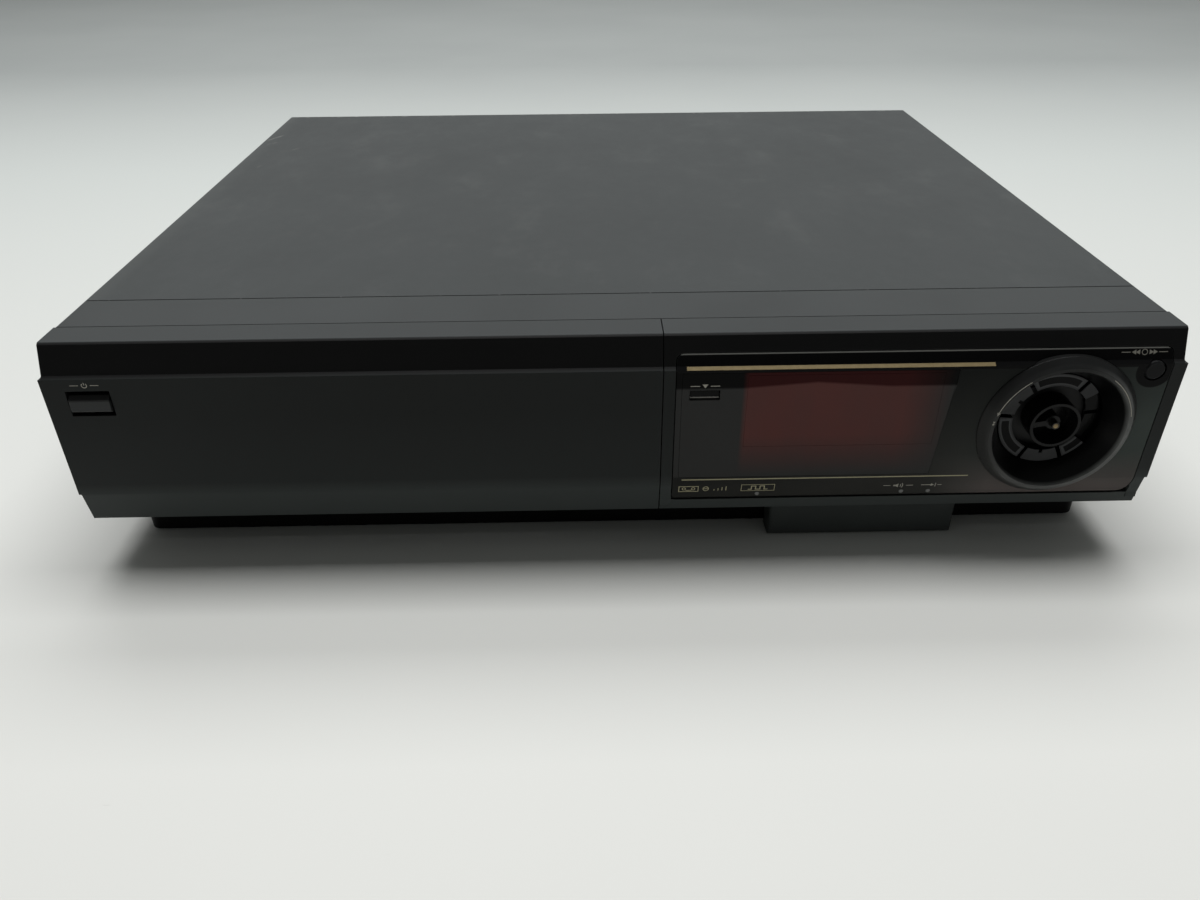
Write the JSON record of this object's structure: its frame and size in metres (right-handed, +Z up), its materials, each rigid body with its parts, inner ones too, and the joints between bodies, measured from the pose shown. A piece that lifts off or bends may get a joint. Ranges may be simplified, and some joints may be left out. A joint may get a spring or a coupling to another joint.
{
  "type": "video cassette recorder",
  "caption": "Wide flat VHS editing recorder with drop-down cassette door, hinged control panel with display and dial, and a front-loading tape deck",
  "frame": {"origin": "under the middle of the recorder, on the surface it stands on", "axes": "+X to the right as seen from the front, +Y to the rear, +Z up"},
  "size_m": [0.43, 0.3852, 0.1],
  "materials": {
    "cover_paint": "fine satin charcoal paint",
    "rear_paint": "satin black paint",
    "pan_steel": "black paint",
    "front_plastic": "fine matt dark grey-green moulding",
    "frame_plastic": "fine matt charcoal moulding",
    "black_plastic": "matt black moulding",
    "gloss_black": "glossy black moulding",
    "carrier_grey": "mid grey moulding",
    "button_grey": "satin dark grey moulding",
    "reel_plastic": "pale grey moulding",
    "smoked_acrylic": "smoked acrylic",
    "red_acrylic": "deep red acrylic filter",
    "board_laminate": "green circuit laminate",
    "rubber": "black rubber",
    "brass": "turned brass",
    "plated_metal": "plated connector metal",
    "deck_steel": "zinc plated sheet steel",
    "polished_steel": "polished steel",
    "core_steel": "varnished laminations",
    "drum_aluminium": "turned aluminium",
    "sink_aluminium": "extruded aluminium"
  },
  "bodies": {
    "chassis": {"lower_chassis": "pan_steel", "rubber_feet": "rubber", "front_support_foot": "front_plastic", "front_frame": "frame_plastic", "right_fascia": "front_plastic", "top_cover": "cover_paint", "rear_panel": "rear_paint", "rca_sockets": "plated_metal", "s_video_sockets": "black_plastic", "aerial_sockets": "plated_metal", "serial_connector": "plated_metal", "mains_inlet": "black_plastic", "key_panel": "black_plastic", "front_board": "board_laminate", "power_switch": "black_plastic", "deck_plate": "deck_steel", "side_plate_left": "deck_steel", "side_plate_right": "deck_steel", "drum_base": "drum_aluminium", "capstan_motor": "black_plastic", "guide_posts": "polished_steel", "audio_control_head": "polished_steel", "erase_head": "polished_steel", "loading_motor": "plated_metal", "main_board": "board_laminate", "tbc_board": "board_laminate", "power_board": "board_laminate", "board_spacers": "polished_steel", "transformer": "core_steel", "heat_sink": "sink_aluminium"},
    "cassette_door": {"cassette_door": "front_plastic"},
    "control_panel": {"control_door": "front_plastic", "display_window": "smoked_acrylic", "display_filter": "red_acrylic", "display_module": "black_plastic", "dial_collar": "gloss_black", "encoder_body": "black_plastic"},
    "shuttle_ring": {"shuttle_carrier": "carrier_grey"},
    "jog_dial": {"jog_hub": "gloss_black", "jog_shaft": "brass"},
    "open_button": {"open_button": "gloss_black"},
    "jog_shuttle_button": {"jog_shuttle_button": "button_grey"},
    "power_button": {"power_button": "button_grey"},
    "slot_flap": {"slot_flap": "black_plastic"},
    "loading_slider": {"loading_slider": "deck_steel"},
    "cassette_holder": {"cassette_holder": "deck_steel"},
    "supply_reel": {"supply_reel": "reel_plastic"},
    "take_up_reel": {"take_up_reel": "reel_plastic"},
    "drum_rotor": {"drum_rotor": "drum_aluminium"},
    "capstan_flywheel": {"capstan_flywheel": "polished_steel"},
    "pinch_arm": {"pinch_arm": "deck_steel"},
    "pinch_roller": {"pinch_roller": "rubber"},
    "rewind_key": {"rewind_key": "button_grey"},
    "play_key": {"play_key": "button_grey"},
    "fast_forward_key": {"fast_forward_key": "button_grey"},
    "eject_key": {"eject_key": "button_grey"},
    "pause_key": {"pause_key": "button_grey"},
    "stop_key": {"stop_key": "button_grey"},
    "record_key": {"record_key": "button_grey"}
  },
  "joints": [
    {"name": "cassette_door_swing", "type": "hinge", "parent": "chassis", "child": "cassette_door", "pos_m": [-0.086, -0.17338, 0.026], "axis": [1, 0, 0], "range_deg": [0, 85], "stiffness_Nm_per_rad": 0.03, "springref_deg": -34.38},
    {"name": "control_door_swing", "type": "hinge", "parent": "chassis", "child": "control_panel", "pos_m": [0.11595, -0.18317, 0.0295], "axis": [1, 0, 0], "range_deg": [0, 60]},
    {"name": "shuttle_turn", "type": "hinge", "parent": "control_panel", "child": "shuttle_ring", "pos_m": [0.1713, -0.18776, 0.0605], "axis": [0, -0.9995, -0.0308], "range_deg": [-60, 60], "stiffness_Nm_per_rad": 0.02},
    {"name": "jog_turn", "type": "hinge", "parent": "control_panel", "child": "jog_dial", "pos_m": [0.1713, -0.18776, 0.0605], "axis": [0, -0.9995, -0.0308], "continuous": true},
    {"name": "open_press", "type": "slide", "parent": "control_panel", "child": "open_button", "axis": [0, 0.9995, 0.0308], "range_m": [0, 0.0015], "stiffness_N_per_m": 300, "springref_m": -0.0008},
    {"name": "jog_shuttle_press", "type": "slide", "parent": "control_panel", "child": "jog_shuttle_button", "axis": [0, 0.9995, 0.0308], "range_m": [0, 0.001], "stiffness_N_per_m": 300, "springref_m": -0.0008},
    {"name": "power_press", "type": "slide", "parent": "chassis", "child": "power_button", "axis": [0, 1, 0], "range_m": [0, 0.002], "stiffness_N_per_m": 300, "springref_m": -0.0008},
    {"name": "rewind_press", "type": "slide", "parent": "chassis", "child": "rewind_key", "axis": [0, 1, 0], "range_m": [0, 0.0008], "stiffness_N_per_m": 300, "springref_m": -0.0008},
    {"name": "play_press", "type": "slide", "parent": "chassis", "child": "play_key", "axis": [0, 1, 0], "range_m": [0, 0.0008], "stiffness_N_per_m": 300, "springref_m": -0.0008},
    {"name": "fast_forward_press", "type": "slide", "parent": "chassis", "child": "fast_forward_key", "axis": [0, 1, 0], "range_m": [0, 0.0008], "stiffness_N_per_m": 300, "springref_m": -0.0008},
    {"name": "eject_press", "type": "slide", "parent": "chassis", "child": "eject_key", "axis": [0, 1, 0], "range_m": [0, 0.0008], "stiffness_N_per_m": 300, "springref_m": -0.0008},
    {"name": "pause_press", "type": "slide", "parent": "chassis", "child": "pause_key", "axis": [0, 1, 0], "range_m": [0, 0.0008], "stiffness_N_per_m": 300, "springref_m": -0.0008},
    {"name": "stop_press", "type": "slide", "parent": "chassis", "child": "stop_key", "axis": [0, 1, 0], "range_m": [0, 0.0008], "stiffness_N_per_m": 300, "springref_m": -0.0008},
    {"name": "record_press", "type": "slide", "parent": "chassis", "child": "record_key", "axis": [0, 1, 0], "range_m": [0, 0.0008], "stiffness_N_per_m": 300, "springref_m": -0.0008},
    {"name": "slot_flap_swing", "type": "hinge", "parent": "chassis", "child": "slot_flap", "pos_m": [-0.086, -0.16078, 0.0861], "axis": [1, 0, 0], "range_deg": [0, 80], "stiffness_Nm_per_rad": 0.005, "springref_deg": -17.19},
    {"name": "carriage_in", "type": "slide", "parent": "chassis", "child": "loading_slider", "axis": [0, 1, 0], "range_m": [0, 0.058]},
    {"name": "holder_down", "type": "slide", "parent": "loading_slider", "child": "cassette_holder", "axis": [0, 0, -1], "range_m": [0, 0.022]},
    {"name": "supply_reel_spin", "type": "hinge", "parent": "chassis", "child": "supply_reel", "pos_m": [-0.132, -0.05938, 0.0295], "axis": [0, 0, 1], "continuous": true},
    {"name": "take_up_reel_spin", "type": "hinge", "parent": "chassis", "child": "take_up_reel", "pos_m": [-0.04, -0.05938, 0.0295], "axis": [0, 0, 1], "continuous": true},
    {"name": "drum_spin", "type": "hinge", "parent": "chassis", "child": "drum_rotor", "pos_m": [-0.086, 0.01662, 0.035], "axis": [0, 0.0872, 0.9962], "continuous": true},
    {"name": "capstan_spin", "type": "hinge", "parent": "chassis", "child": "capstan_flywheel", "pos_m": [-0.028, -0.00738, 0.0295], "axis": [0, 0, 1], "continuous": true},
    {"name": "pinch_arm_swing", "type": "hinge", "parent": "chassis", "child": "pinch_arm", "pos_m": [-0.004, 0.00462, 0.0295], "axis": [0, 0, 1], "range_deg": [0, 17.5], "stiffness_Nm_per_rad": 0.02, "springref_deg": -17.19},
    {"name": "pinch_roller_spin", "type": "hinge", "parent": "pinch_arm", "child": "pinch_roller", "pos_m": [-0.0255, 0.01062, 0.0295], "axis": [0, 0, 1], "continuous": true}
  ]
}
